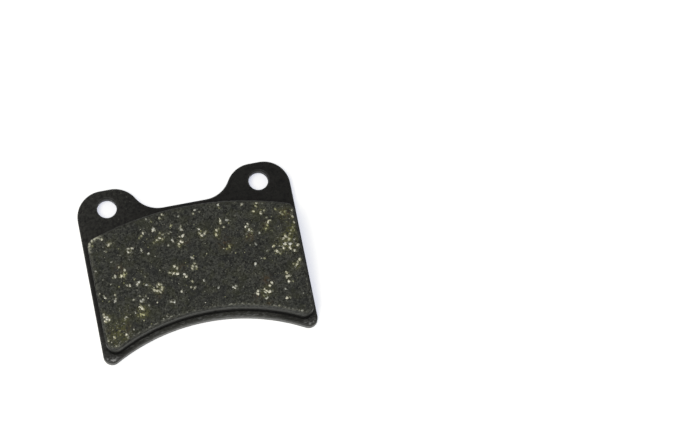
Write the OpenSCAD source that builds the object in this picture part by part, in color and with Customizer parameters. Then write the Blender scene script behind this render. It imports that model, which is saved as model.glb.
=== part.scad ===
// Disc brake pad: a blanked steel plate with two pinned ears, and a moulded friction lining
// that is keyed through six holes in the plate. It lies on its back, friction face up.
// Millimetres. +Z is up. The origin is the centre of the part's footprint, on the back face.

/* [Plate] */
// Width of the plate, side to side
plate_width = 59.4; // [58.4:0.1:60.4]
// Height of the plate, from the ears' tops to its two lower corners
plate_height = 48.4; // [47.4:0.1:49.4]
// Thickness of the steel
plate_thickness = 2.8; // [2.4:0.1:3.2]
// Radius of the two lower corners
corner_radius = 2.45; // [2:0.05:3]
// Radius of the hollow lower edge
hollow_radius = 54.2; // [52.5:0.1:56]
// Blunting left on both edges of the blank by the press tool
edge_break = 0.4; // [0.2:0.05:0.6]

/* [Ears] */
// Distance between the two pin holes
pin_spacing = 42.4; // [41.4:0.1:43.4]
// Diameter of the pin holes
pin_hole = 5.4; // [5:0.1:5.8]
// Height of an ear above its pin hole's centre
ear_rise = 5.15; // [4.8:0.05:5.6]
// Radius of an ear's two upper corners
ear_radius = 7.4; // [7:0.1:7.8]
// Where the rounding towards the other ear is centred, out from the middle
ear_inner = 19.4; // [19:0.1:19.8]
// Radius at the foot of an ear's inner side
foot_radius = 8; // [7:0.1:9]
// Depth of the valley between the ears, below the pin holes' centres
valley_depth = 2.6; // [2.2:0.1:3]

/* [Lining] */
// Thickness of the friction block
lining_thickness = 6.2; // [4:0.1:7]
// Width of the friction block
lining_width = 57.4; // [57:0.1:57.9]
// Radius of the block's outer edge, which is centred on the brake disc's axle
lining_outer = 85.6; // [85.2:0.1:86]
// Steel left bare along the hollow edge
lower_border = 1.4; // [1:0.1:1.8]
// Radius of the block's four corners
lining_corner = 2.6; // [2:0.1:3]
// Moulded chamfer round the friction face
face_chamfer = 0.5; // [0.3:0.05:0.8]
// How far the mould set the block to one side on its plate
lining_offset = 0.25; // [0:0.05:0.25]

/* [Keys] */
// Diameter of the six key holes
key_hole = 9; // [8.6:0.1:9.4]
// Shrinkage round each moulded key
key_clearance = 0.05; // [0.03:0.01:0.1]
// Depth of a key's end below the plate's back face
key_recess = 0.4; // [0.2:0.05:0.6]
// Distance from the pin holes' centre line to the disc's axle
axle_drop = 90.6; // [90:0.1:91]
// Steel between the hollow edge and the lower row's middle key hole
key_web = 3.4; // [2.8:0.1:4]
// Distance between the two rows of keys
row_gap = 16.2; // [15.6:0.1:16.8]
// Angle between keys in the upper row
upper_step = 16.2; // [16:0.1:16.4]
// Angle between keys in the lower row
lower_step = 20.7; // [20.4:0.1:21]

/* [Hidden] */
$fn = 96;
over = 0.6;
lap = 0.8;
proud = 0.02;
cross = 0.002;
half = plate_width / 2;
top = plate_height / 2;
pin_y = top - ear_rise;
axle_y = pin_y - axle_drop;

// plate outline, right half: centres of its arcs and the points where they meet its lines
corner_c = [half - corner_radius, -top + corner_radius];
hollow_y = corner_c[1] - sqrt(pow(hollow_radius + corner_radius, 2) - pow(corner_c[0], 2));
corner_turn = atan2(hollow_y - corner_c[1], -corner_c[0]);
crown_y = hollow_y + hollow_radius;
corner_t = corner_c + corner_radius * [cos(corner_turn), sin(corner_turn)];
ear_c = [half - ear_radius, top - ear_radius];
inner_c = [ear_inner, top - ear_radius];
valley_y = pin_y - valley_depth;
foot_rise = valley_y + foot_radius - inner_c[1];
foot_c = [ear_inner - sqrt(pow(ear_radius + foot_radius, 2) - pow(foot_rise, 2)), valley_y + foot_radius];
flank_turn = atan2(foot_rise, foot_c[0] - ear_inner);
flank_t = inner_c + ear_radius * [cos(flank_turn), sin(flank_turn)];
valley_t = [foot_c[0], valley_y];

// lining outline, right half, the same way
block = lining_width / 2;
block_hollow = hollow_radius + lower_border;
low_c = [block - lining_corner,
    hollow_y + sqrt(pow(block_hollow + lining_corner, 2) - pow(block - lining_corner, 2))];
low_turn = atan2(hollow_y - low_c[1], -low_c[0]);
low_t = low_c + lining_corner * [cos(low_turn), sin(low_turn)];
high_c = [block - lining_corner,
    axle_y + sqrt(pow(lining_outer - lining_corner, 2) - pow(block - lining_corner, 2))];
high_turn = atan2(high_c[1] - axle_y, high_c[0]);
high_t = high_c + lining_corner * [cos(high_turn), sin(high_turn)];
crown = [0, high_t[1] + high_t[0] / tan(high_turn)];

part_height = plate_thickness + lining_thickness;
pins = [[-pin_spacing / 2, pin_y], [pin_spacing / 2, pin_y]];
lower_row = crown_y - axle_y + key_web + key_hole / 2;
upper_row = lower_row + row_gap;
key_turns = [-1, 0, 1];
keys = concat(
    [for (i = key_turns) [upper_row * sin(i * upper_step), axle_y + upper_row * cos(i * upper_step)]],
    [for (i = key_turns) [lower_row * sin(i * lower_step), axle_y + lower_row * cos(i * lower_step)]]);

// a point or a list of points on the left half, in the order that carries the outline on
function left(p) = [-p[0], p[1]];
function both(points) = concat(points, [for (i = [len(points) - 1:-1:0]) left(points[i])]);

// Chamfer cutters. Where an arc runs into a line, one of the two laps over the joint and the
// other cuts a hair less deep, so that their faces cross cleanly and never just touch.
// side is 1 at an upper face and -1 at a lower one.
module cutter(size, side, lapped, at = 0, out = 1) {
    depth = lapped ? size : size - proud;
    polygon([
        [at - out * (depth + over), side * over],
        [at + out * over, side * over],
        [at + out * over, -side * (depth + over)]]);
}

module arcCut(centre, radius, from, to, size, side, hollow = false, lapped = false) {
    extra = lapped ? lap / radius * 180 / PI : 0;
    translate(centre)
        rotate([0, 0, from - extra])
            rotate_extrude(angle = to - from + 2 * extra)
                cutter(size, side, lapped, radius, hollow ? -1 : 1);
}

module lineCut(from, to, size, side, lapped = false) {
    run = to - from;
    extra = lapped ? lap : 0;
    translate(from)
        rotate([0, 0, atan2(run[1], run[0])])
            translate([-extra, 0, 0])
                rotate([90, 0, 90])
                    linear_extrude(norm(run) + 2 * extra)
                        cutter(size, side, lapped, out = -1);
}

module mirrored() {
    children();
    mirror([1, 0, 0]) children();
}

module plateRim(size, side) {
    mirrored() {
        arcCut(corner_c, corner_radius, corner_turn, 0, size, side);
        lineCut([half, corner_c[1]], [half, ear_c[1]], size, side, lapped = true);
        arcCut(ear_c, ear_radius, 0, 90, size, side);
        lineCut([ear_c[0], top], [inner_c[0], top], size, side, lapped = true);
        arcCut(inner_c, ear_radius, 90, flank_turn, size, side);
        arcCut(foot_c, foot_radius, -90, flank_turn - 180, size, side, hollow = true, lapped = true);
    }
    lineCut(valley_t, left(valley_t), size, side);
    arcCut([0, hollow_y], hollow_radius, corner_turn + 180, -corner_turn, size, side,
        hollow = true, lapped = true);
}

// Where two arcs meet, the cutting one is larger by cross, so that they cross instead of touching.
module plateOutline() {
    difference() {
        union() {
            polygon(both([
                corner_t, [half, corner_c[1]], [half, ear_c[1]], [ear_c[0], top],
                [inner_c[0], top], flank_t, valley_t]));
            mirrored() {
                translate(corner_c) circle(corner_radius);
                translate(ear_c) circle(ear_radius);
                translate(inner_c) circle(ear_radius);
            }
        }
        mirrored() translate(foot_c) circle(foot_radius + cross);
        translate([0, hollow_y]) circle(hollow_radius + cross, $fn = 360);
    }
}

module backing_plate() {
    color([0.13, 0.13, 0.13])
        difference() {
            linear_extrude(plate_thickness) plateOutline();
            for (p = pins)
                translate([p[0], p[1], -1])
                    cylinder(h = plate_thickness + 2, d = pin_hole);
            for (p = keys)
                translate([p[0], p[1], -1])
                    cylinder(h = plate_thickness + 2, d = key_hole);
            plateRim(edge_break, -1);
            translate([0, 0, plate_thickness]) plateRim(edge_break, 1);
        }
}

module liningRim(size, side) {
    mirrored() {
        arcCut(low_c, lining_corner, low_turn, 0, size, side);
        lineCut([block, low_c[1]], [block, high_c[1]], size, side, lapped = true);
        arcCut(high_c, lining_corner, 0, high_turn, size, side);
    }
    arcCut([0, axle_y], lining_outer, high_turn, 180 - high_turn, size, side, lapped = true);
    arcCut([0, hollow_y], block_hollow, low_turn + 180, -low_turn, size, side,
        hollow = true, lapped = true);
}

module liningOutline() {
    difference() {
        intersection() {
            union() {
                polygon(both([low_t, [block, low_c[1]], [block, high_c[1]], high_t, crown]));
                mirrored() {
                    translate(low_c) circle(lining_corner);
                    translate(high_c) circle(lining_corner);
                }
            }
            translate([0, axle_y]) circle(lining_outer - cross, $fn = 720);
        }
        translate([0, hollow_y]) circle(block_hollow + cross, $fn = 360);
    }
}

module friction_lining() {
    color([0.24, 0.24, 0.21])
        union() {
            translate([lining_offset, 0, 0])
                difference() {
                    translate([0, 0, plate_thickness]) linear_extrude(lining_thickness) liningOutline();
                    translate([0, 0, part_height]) liningRim(face_chamfer, 1);
                }
            for (p = keys)
                translate([p[0], p[1], key_recess])
                    cylinder(h = plate_thickness - key_recess + 1, d = key_hole - 2 * key_clearance);
        }
}

backing_plate();
friction_lining();
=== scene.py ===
import math

import bpy
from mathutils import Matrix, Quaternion, Vector
from mathutils.geometry import delaunay_2d_cdt


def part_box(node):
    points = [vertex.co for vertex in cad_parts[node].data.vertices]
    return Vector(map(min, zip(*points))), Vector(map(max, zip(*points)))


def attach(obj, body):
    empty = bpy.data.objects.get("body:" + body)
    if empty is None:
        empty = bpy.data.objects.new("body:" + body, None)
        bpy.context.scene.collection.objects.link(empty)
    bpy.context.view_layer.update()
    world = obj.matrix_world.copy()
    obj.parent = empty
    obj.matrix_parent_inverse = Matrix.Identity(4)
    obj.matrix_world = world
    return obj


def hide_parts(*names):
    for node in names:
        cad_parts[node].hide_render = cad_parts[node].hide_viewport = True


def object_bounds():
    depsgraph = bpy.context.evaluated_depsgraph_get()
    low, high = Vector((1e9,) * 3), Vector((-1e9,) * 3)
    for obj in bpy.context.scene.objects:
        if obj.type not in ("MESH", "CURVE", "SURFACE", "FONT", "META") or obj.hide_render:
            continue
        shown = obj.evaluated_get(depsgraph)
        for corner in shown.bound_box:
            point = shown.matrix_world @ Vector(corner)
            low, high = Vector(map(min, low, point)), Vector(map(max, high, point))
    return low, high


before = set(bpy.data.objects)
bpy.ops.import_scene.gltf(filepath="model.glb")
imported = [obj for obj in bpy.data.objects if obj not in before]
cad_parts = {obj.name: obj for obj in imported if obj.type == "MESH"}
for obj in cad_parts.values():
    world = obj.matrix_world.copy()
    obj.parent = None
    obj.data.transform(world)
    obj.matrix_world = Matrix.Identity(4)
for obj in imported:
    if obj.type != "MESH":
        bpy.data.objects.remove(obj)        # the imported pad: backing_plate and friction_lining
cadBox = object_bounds()
mm = 0.001
samePlace = 1e-4      # two spots of an outline that are closer than this, in mm, are one
print("frame loaded, nodes:", sorted(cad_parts))


# Outlines. An arc is (centre, radius, start angle, end angle, hollow), in mm and degrees, and
# arcs are walked anticlockwise round the part. Straight stretches lie between two arcs.

def leftHalf(arcs):
    return [((-c[0], c[1]), r, 180 - end, 180 - start, hollow) for c, r, start, end, hollow in reversed(arcs)]


def walkArcs(arcs, step):
    spots = []      # (x, y, outward normal x, outward normal y)

    def add(x, y, nx, ny):
        if not spots or math.dist((x, y), spots[-1][:2]) > samePlace:
            spots.append((x, y, nx, ny))

    for (cx, cy), radius, start, end, hollow in arcs:
        count = max(3, math.ceil(math.radians(abs(end - start)) * radius / step))
        side = -1 if hollow else 1
        for i in range(count + 1):
            turn = math.radians(start + (end - start) * i / count)
            nx, ny = math.cos(turn), math.sin(turn)
            x, y = cx + radius * nx, cy + radius * ny
            if i == 0 and spots:      # a straight stretch leads to this arc
                lastX, lastY, lastNx, lastNy = spots[-1]
                pieces = math.ceil(math.dist((lastX, lastY), (x, y)) / step)
                for k in range(1, pieces):
                    share = k / pieces
                    add(lastX + (x - lastX) * share, lastY + (y - lastY) * share, lastNx, lastNy)
            add(x, y, side * nx, side * ny)
    if math.dist(spots[0][:2], spots[-1][:2]) < samePlace:
        spots.pop()
    return spots


def roundHole(x, y, diameter, step):      # walked clockwise, so that its wall faces its middle
    return walkArcs([((x, y), diameter / 2, 360, 0, True)], step)


# Shells. Rings of an outline are stacked and bridged, and flat caps close them.

def newShell():
    return {"points": [], "faces": [], "marks": {}}


def markOn(shell, name):      # a mark's values, by point
    return shell["marks"].setdefault(name, {})


def addPoints(shell, points, marks):
    start = len(shell["points"])
    shell["points"].extend(points)
    added = list(range(start, len(shell["points"])))
    for name, value in marks.items():
        markOn(shell, name).update(dict.fromkeys(added, value))
    return added


def addRing(shell, spots, inset, height, **marks):
    return addPoints(shell, [(x - nx * inset, y - ny * inset, height) for x, y, nx, ny in spots], marks)


def bridge(shell, rings):      # walls from each ring to the next
    for lower, upper in zip(rings, rings[1:]):
        count = len(lower)
        for i in range(count):
            k = (i + 1) % count
            shell["faces"].append((lower[i], lower[k], upper[k], upper[i]))


def stack(shell, spots, profile, **marks):      # profile rows are (inset, height)
    rings = [addRing(shell, spots, inset, height, **marks) for inset, height in profile]
    bridge(shell, rings)
    return rings


def turnsLeft(loop):
    return sum(p.cross(q) for p, q in zip(loop, loop[1:] + loop[:1])) > 0


def closeFlat(shell, outer, holes, facing, height=None, inner=(), **marks):
    added = addPoints(shell, [(x, y, height) for x, y in inner], marks)
    loops = [outer, *holes]
    indexes = [i for loop in loops for i in loop] + added
    flat = [Vector(shell["points"][i][:2]) for i in indexes]
    sides, start = [], 0
    for loop in loops:
        side = list(range(start, start + len(loop)))
        sides.append(side if turnsLeft([flat[i] for i in side]) else side[::-1])
        start += len(loop)
    found = delaunay_2d_cdt(flat, [], sides, 1, 1e-6, True)
    for triangle, inside in zip(found[2], found[5]):
        if inside != [0]:      # beyond the outline, or in a hole
            continue
        a, b, c = (indexes[i] for i in triangle)
        p, q, r = (Vector(shell["points"][i][:2]) for i in (a, b, c))
        if ((q - p).cross(r - p) > 0) != (facing > 0):
            b, c = c, b
        shell["faces"].append((a, b, c))


def addObject(name, data):
    made = bpy.data.objects.new(name, data)
    bpy.context.scene.collection.objects.link(made)
    return made


def makePiece(name, shell, material):
    mesh = bpy.data.meshes.new(name)
    mesh.from_pydata([tuple(v * mm for v in p) for p in shell["points"]], [], shell["faces"])
    for mark, values in shell["marks"].items():
        layer = mesh.attributes.new(mark, "FLOAT", "POINT")
        for i, value in values.items():
            layer.data[i].value = value
    mesh.shade_smooth()
    mesh.validate()
    mesh.materials.append(material)
    return addObject(name, mesh)


def ramped(value, low, high):
    return min(1, max(0, (value - low) / (high - low)))


def edgeRound(width, rise, steps):      # quarter round: (inset, height) from the face down its side
    turns = [math.radians(90 * i / steps) for i in range(steps + 1)]
    return [(width * (1 - math.sin(t)), rise * (1 - math.cos(t))) for t in turns]


# Node trees for shapes and finishes.

def socketOf(sockets, name=None):
    return next(s for s in sockets if s.enabled and (name is None or s.name == name))


def connect(tree, sockets, feed):      # by a socket's number or name, from a socket or to a plain value
    for key, value in feed.items():
        socket = sockets[key] if isinstance(key, int) else socketOf(sockets, key)
        if isinstance(value, bpy.types.NodeSocket):
            tree.links.new(value, socket)
        else:
            socket.default_value = value


def put(tree, kind, feed=None, out=None, **settings):
    node = tree.nodes.new(kind)
    for name, value in settings.items():
        setattr(node, name, value)
    connect(tree, node.inputs, feed or {})
    return socketOf(node.outputs, out) if node.outputs else node


def sums(tree, operation, a, b=0, c=0, clamp=False):
    return put(tree, "ShaderNodeMath", {0: a, 1: b, 2: c}, operation=operation, use_clamp=clamp)


def times(tree, a, b):
    return sums(tree, "MULTIPLY", a, b)


def vectors(tree, operation, a, b):
    key = "Scale" if operation == "SCALE" else 1
    return put(tree, "ShaderNodeVectorMath", {0: a, key: b}, operation=operation)


def ramp(tree, value, low, high, toLow=0, toHigh=1):      # smooth step between two levels
    return put(tree, "ShaderNodeMapRange", {"Value": value, "From Min": low, "From Max": high,
               "To Min": toLow, "To Max": toHigh}, interpolation_type="SMOOTHSTEP")


def noiseAt(tree, place, size, detail=2, rough=0.5, out="Fac"):      # size of a patch in mm
    return put(tree, "ShaderNodeTexNoise", {"Vector": place, "Scale": 1 / (size * mm), "Detail": detail,
               "Roughness": rough}, out=out)


def patches(tree, place, size, levels, detail=2, rough=0.5, shares=(0, 1)):      # noise made blotches
    return ramp(tree, noiseAt(tree, place, size, detail, rough), *levels, *shares)


def blend(tree, factor, a, b):
    a, b = ((*tint, 1) if isinstance(tint, tuple) else tint for tint in (a, b))
    return put(tree, "ShaderNodeMix", {"Factor": factor, "A": a, "B": b}, data_type="RGBA")


def layered(tree, colour, tints, **masks):      # lays tints over a colour, each by the mask of its name
    for name, mask in masks.items():
        colour = blend(tree, mask, colour, tints[name])
    return colour


def fieldOf(tree, name):      # a mark, as a shape tree reads it
    return put(tree, "GeometryNodeInputNamedAttribute", {"Name": name}, data_type="FLOAT")


def reshape(tree, kind, geometry, feed=None, **settings):
    return put(tree, "GeometryNode" + kind, {"Geometry": geometry, **(feed or {})}, **settings)


def store(tree, geometry, name, value):
    return reshape(tree, "StoreNamedAttribute", geometry, {"Name": name, "Value": value},
                   data_type="FLOAT", domain="POINT")


def newTree(name, kind, inputs, outputs):      # sockets are {name: type, or a number of that type}
    tree = bpy.data.node_groups.new(name, kind)
    for way, sockets in (("INPUT", inputs), ("OUTPUT", outputs)):
        for key, value in sockets.items():
            socketType = {int: "Int", float: "Float"}.get(type(value), value)
            tree.interface.new_socket(name=key, in_out=way, socket_type=f"NodeSocket{socketType}")
    return tree, tree.nodes.new("NodeGroupInput").outputs, tree.nodes.new("NodeGroupOutput").inputs


def runTree(piece, tree, settings):      # runs a shape tree on a piece and keeps the plain mesh
    modifier = piece.modifiers.new(tree.name, "NODES")
    modifier.node_group = tree
    for item in tree.interface.items_tree:
        if item.item_type == "SOCKET" and item.in_out == "INPUT" and item.name in settings:
            modifier[item.identifier] = settings[item.name]
    bpy.context.view_layer.update()
    done = piece.evaluated_get(bpy.context.evaluated_depsgraph_get())
    mesh = bpy.data.meshes.new_from_object(done)
    piece.modifiers.clear()
    old = piece.data
    piece.data = mesh
    bpy.data.meshes.remove(old)
    mesh.name = piece.name
    mesh.shade_smooth()


# Shader effects that the finishes share.

def grainGroup():      # fine uneven surface: a height for bump and a mottle for colour
    tree, given, made = newTree("surfaceGrain", "ShaderNodeTree",
        {"Place": "Vector", "Coarse": "Float", "Fine": "Float"}, {"Height": "Float", "Mottle": "Float"})
    coarse, fine = (
        put(tree, "ShaderNodeTexNoise", {"Vector": given["Place"], "Scale": given[name], "Detail": detail})
        for name, detail in (("Coarse", 4), ("Fine", 3)))
    height = sums(tree, "MULTIPLY_ADD", fine, 0.6, times(tree, coarse, 0.4))
    even = sums(tree, "MULTIPLY_ADD", fine, 0.5, times(tree, coarse, 0.5))
    connect(tree, made, {"Height": height, "Mottle": ramp(tree, even, 0.38, 0.62)})
    return tree


def speckGroup():      # scattered mineral specks: a mask, and a tone that differs from speck to speck
    tree, given, made = newTree("mineralSpecks", "ShaderNodeTree",
        {"Place": "Vector", "Frequency": "Float", "Cover": "Float", "Reach": "Float"},
        {"Mask": "Float", "Tone": "Float"})
    bend = put(tree, "ShaderNodeTexNoise", {"Vector": given["Place"], "Scale": given["Frequency"],
               "Detail": 2}, out="Color")
    shift = vectors(tree, "SUBTRACT", bend, (0.5, 0.5, 0.5))
    push = vectors(tree, "SCALE", shift, sums(tree, "DIVIDE", 0.9, given["Frequency"]))
    cells = put(tree, "ShaderNodeTexVoronoi", {"Vector": vectors(tree, "ADD", given["Place"], push),
                "Scale": given["Frequency"]}).node.outputs
    chance, growth, tone = put(tree, "ShaderNodeSeparateColor", {0: cells["Color"]}).node.outputs
    chosen = sums(tree, "LESS_THAN", chance, given["Cover"])
    size = times(tree, given["Reach"], sums(tree, "MULTIPLY_ADD", growth, 0.7, 0.3))
    near = sums(tree, "SUBTRACT", size, cells["Distance"])
    soft = sums(tree, "MULTIPLY", near, 12, clamp=True)
    connect(tree, made, {"Mask": times(tree, soft, chosen), "Tone": tone})
    return tree


surfaceGrain = grainGroup()
mineralSpecks = speckGroup()


def emptyTree(owner):      # the nodes of a material or a world, cleared
    owner.use_nodes = True
    owner.node_tree.nodes.clear()
    return owner.node_tree


def newFinish(name):
    material = bpy.data.materials.new(name)
    tree = emptyTree(material)
    place = put(tree, "ShaderNodeTexCoord", out="Object")
    shader = tree.nodes.new("ShaderNodeBsdfPrincipled")
    end = tree.nodes.new("ShaderNodeOutputMaterial")
    tree.links.new(shader.outputs[0], end.inputs["Surface"])
    return material, tree, place, shader.inputs


def useGroup(tree, group, **feed):
    return put(tree, "ShaderNodeGroup", feed, node_tree=group).node.outputs


def joinSurface(tree, shader, colour, roughness, shine, height, strength, depth):      # depth in mm
    bump = put(tree, "ShaderNodeBump", {"Height": height, "Strength": strength, "Distance": depth * mm})
    connect(tree, shader, {"Base Color": colour, "Roughness": roughness, "Specular IOR Level": shine,
            "Normal": bump})


def markOf(tree, name):      # a mark, as a finish reads it
    return put(tree, "ShaderNodeAttribute", out="Fac", attribute_name=name)


def axesOf(tree, place):
    return put(tree, "ShaderNodeSeparateXYZ", {0: place}).node.outputs


# Backing plate: blanked steel, painted satin black

plateBox = [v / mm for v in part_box("backing_plate")]
platePlan = {
    "cornerRadius": 2.45, "hollowRadius": 54.2,
    "earRadius": 7.4, "earInner": 19.4, "earRise": 5.15,
    "footRadius": 8, "valleyDepth": 2.6,
    "pinSpacing": 42.4, "pinHole": 5.4,
    "keyHole": 9, "keyClearance": 0.05, "keyRecess": 0.4, "keyWeb": 3.4, "rowGap": 16.2,
    "upperStep": 16.2, "lowerStep": 20.7, "axleDrop": 90.6,
    "rollWidth": 0.7, "rollHeight": 0.3,      # back edge, rolled in by the press tool
    "burrWidth": 0.45, "burrHeight": 0.4,      # upper edge, where the tool broke through
    "pinBreak": 0.5, "keyBreak": 0.2, "step": 0.45, "holeStep": 0.3,
    "wallRows": (0.4, 0.8, 1.2, 1.6, 2), "band": 0.15, "holeBand": 0.1, "border": 1.2,
    # paler cut sides: thin paint and a painted reflection, more of it lower down; the pin-hole walls get a
    # painted highlight
    "shearPlain": 0.25, "shearBelow": (0.1, 0.9), "shearPin": 0.3, "backFade": (0.02, 0.25),
    "rubAt": (0.2, 0.5), "rubReach": 2.4, "rubCore": 0.6, "rubRight": 0.6,      # bare lower corners
    "rubRings": (0.25, 1, 0.5),      # from the border outwards
    "keyEnd": ((0.5, 0), (0.25, 0.02), (0.08, 0.08), (0, 0.2)), "keySide": 0.5,
    "keyNet": 0.33, "keyNetMargin": 0.7,
}
plateTints = {
    "dark": (0.0045, 0.0043, 0.0042), "light": (0.0125, 0.012, 0.011),
    "haze": (0.044, 0.044, 0.038), "dust": (0.075, 0.074, 0.062), "thin": (0.115, 0.115, 0.11),
    "backDark": (0.024, 0.024, 0.0235), "backLight": (0.044, 0.044, 0.042), "backRub": (0.085, 0.085, 0.08),
    "wisp": (0.13, 0.13, 0.125), "bare": (0.34, 0.34, 0.33),
}
half = plateBox[1].x
top = plateBox[1].y
plateTop = plateBox[1].z
pinY = top - platePlan["earRise"]
axleY = pinY - platePlan["axleDrop"]
cornerC = (half - platePlan["cornerRadius"], -top + platePlan["cornerRadius"])
hollowReach = platePlan["hollowRadius"] + platePlan["cornerRadius"]
hollowY = cornerC[1] - math.sqrt(hollowReach ** 2 - cornerC[0] ** 2)


def plateArcs(plan):
    earR, footR = plan["earRadius"], plan["footRadius"]
    cornerTurn = math.degrees(math.atan2(hollowY - cornerC[1], -cornerC[0]))
    earC = (half - earR, top - earR)
    innerC = (plan["earInner"], top - earR)
    footRise = pinY - plan["valleyDepth"] + footR - innerC[1]
    footC = (innerC[0] - math.sqrt((earR + footR) ** 2 - footRise ** 2), innerC[1] + footRise)
    flankTurn = math.degrees(math.atan2(footRise, footC[0] - innerC[0]))
    rightSide = [
        (cornerC, plan["cornerRadius"], cornerTurn, 0, False),
        (earC, earR, 0, 90, False),
        (innerC, earR, 90, flankTurn, False),
        (footC, footR, flankTurn - 180, -90, True),
    ]
    hollow = ((0, hollowY), plan["hollowRadius"], -cornerTurn, cornerTurn + 180, True)
    return rightSide + leftHalf(rightSide) + [hollow]


def keyPlaces(plan):
    lowerRow = hollowY + plan["hollowRadius"] - axleY + plan["keyWeb"] + plan["keyHole"] / 2
    rows = [(lowerRow + plan["rowGap"], plan["upperStep"]), (lowerRow, plan["lowerStep"])]
    turns = [(row, math.radians(i * step)) for row, step in rows for i in (-1, 0, 1)]
    return [(row * math.sin(t), axleY + row * math.cos(t)) for row, t in turns]


def plateFinish():
    material, tree, place, shader = newFinish("blackPlatePaint")
    tints = plateTints
    grain = useGroup(tree, surfaceGrain, Place=place, Coarse=500, Fine=2800)
    dust = useGroup(tree, mineralSpecks, Place=place, Frequency=1500, Cover=0.16, Reach=0.34)
    x, y, z = axesOf(tree, place)
    nearEdge = ramp(tree, y, -12 * mm, -17.5 * mm)      # grime along the lower border
    for low, high, share in ((14, 22, 0.4), (-19, -25, 0.3)):      # less of it at both ends
        nearEdge = times(tree, nearEdge, ramp(tree, x, low * mm, high * mm, 1, share))
    # painted highlight: the left ear is made lighter than the rest of the plate, as where the light falls
    leftEarSheen = times(tree, ramp(tree, x, -4 * mm, -20 * mm), ramp(tree, y, 4 * mm, 14 * mm))
    # one mask for the grime along the lower border and the painted highlight on the left ear
    grimeAndSheen = sums(tree, "MAXIMUM", nearEdge, times(tree, leftEarSheen, 0.85))
    paint = blend(tree, grain["Mottle"], tints["dark"], tints["light"])
    cloud = patches(tree, place, 0.9, (0.34, 0.64), 4, 0.7)
    haze = times(tree, cloud, ramp(tree, grimeAndSheen, 0, 1, 0.18, 0.6))
    haze = sums(tree, "ADD", haze, times(tree, nearEdge, 0.6), clamp=True)
    dusty = times(tree, dust["Mask"], ramp(tree, grimeAndSheen, 0, 1, 0.16, 0.75))
    streaks = vectors(tree, "MULTIPLY", place, (1, 1, 5))
    streaky = patches(tree, streaks, 1.4, (0.3, 0.7), 3, shares=(0.55, 1))
    # thin paint and a painted reflection on the cut sides, and a painted highlight in the pin holes
    thin = times(tree, markOf(tree, "sheared"), streaky)
    paint = layered(tree, paint, tints, haze=haze, dust=dusty, thin=thin)
    rubs = vectors(tree, "MULTIPLY", place, (6, 1.2, 1))
    satin = blend(tree, grain["Mottle"], tints["backDark"], tints["backLight"])
    rubbing = patches(tree, rubs, 1.8, (0.54, 0.66), 3, shares=(0, 0.6))
    satin = layered(tree, satin, tints, backRub=rubbing)
    paint = blend(tree, markOf(tree, "back"), paint, satin)
    along = vectors(tree, "MULTIPLY", place, (1, 4, 1))
    wisps = times(tree, patches(tree, along, 1.5, (0.5, 0.66), 4, 0.6), nearEdge)
    scuff = times(tree, markOf(tree, "rubbed"), patches(tree, place, 0.55, (0.42, 0.6), 3))
    paint = layered(tree, paint, tints, wisp=times(tree, wisps, 0.75), bare=scuff)
    gloss = ramp(tree, grain["Mottle"], 0, 1, 0.34, 0.48)
    joinSurface(tree, shader, paint, gloss, 0.06, grain["Height"], 0.45, 0.06)
    return material


def makeBackingPlate():
    plan = platePlan
    shell = newShell()
    rim = walkArcs(plateArcs(plan), plan["step"])
    roll = edgeRound(plan["rollWidth"], plan["rollHeight"], 6)
    burr = edgeRound(plan["burrWidth"], plan["burrHeight"], 4)
    profile = [(plan["rollWidth"] + plan["band"], 0)] + roll
    profile += [(0, z) for z in plan["wallRows"]]
    profile += [(inset, plateTop - rise) for inset, rise in reversed(burr)]
    profile += [(plan["burrWidth"] + plan["band"], plateTop), (plan["border"], plateTop)]
    outer = stack(shell, rim, profile)
    sheared = markOn(shell, "sheared")
    shallow, deep = plan["shearBelow"]
    for ring, (inset, height) in zip(outer, profile):      # paler cut side of the blank: thin paint, and a painted reflection of the white floor that grows towards the bottom
        bare = ramped(height, plateTop - shallow, plateTop - deep)
        share = plan["shearPlain"] + (1 - plan["shearPlain"]) * bare
        sheared.update(dict.fromkeys(ring, 0 if height in (0, plateTop) else share))
    pins = [(side * plan["pinSpacing"] / 2, pinY, plan["pinHole"], plan["pinBreak"], plan["shearPin"])
            for side in (-1, 1)]
    keys = [(x, y, plan["keyHole"], plan["keyBreak"], 0) for x, y in keyPlaces(plan)]
    holes = []
    for x, y, diameter, worn, share in pins + keys:
        lower, upper = edgeRound(plan["keyBreak"], plan["keyBreak"], 3), edgeRound(worn, worn, 5)
        rows = [(plan["keyBreak"] + plan["holeBand"], 0)] + lower + [(0, plateTop / 2)]
        rows += [(inset, plateTop - rise) for inset, rise in reversed(upper)]
        rows += [(worn + plan["holeBand"], plateTop)]
        holes.append(stack(shell, roundHole(x, y, diameter, plan["holeStep"]), rows))
        # pin-hole walls: thin paint and a painted highlight; the key holes get none
        for ring in holes[-1][1:-2]:
            sheared.update(dict.fromkeys(ring, share))
    closeFlat(shell, outer[0], [h[0] for h in holes], -1)
    closeFlat(shell, outer[-1], [h[-1] for h in holes], 1)
    back, rubbed = markOn(shell, "back"), markOn(shell, "rubbed")
    for i, (x, y, z) in enumerate(shell["points"]):
        back[i] = 1 - ramped(z, *plan["backFade"])
    rubC = (cornerC[0] + plan["rubAt"][0], -top + plan["rubAt"][1])
    for ring, share in zip(reversed(outer), plan["rubRings"]):
        for i in ring:
            x, y, z = shell["points"][i]
            bare = share * ramped(math.dist((abs(x), y), rubC), plan["rubReach"], plan["rubCore"])
            rubbed[i] = bare * (1 if x < 0 else plan["rubRight"])
    piece = makePiece("backingPlate", shell, plateFinish())
    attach(piece, "root")
    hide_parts("backing_plate")
    return piece


backingPlate = makeBackingPlate()
print("backing plate:", len(backingPlate.data.polygons), "faces")


# Friction block: moulded compound, keyed through the plate

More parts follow.
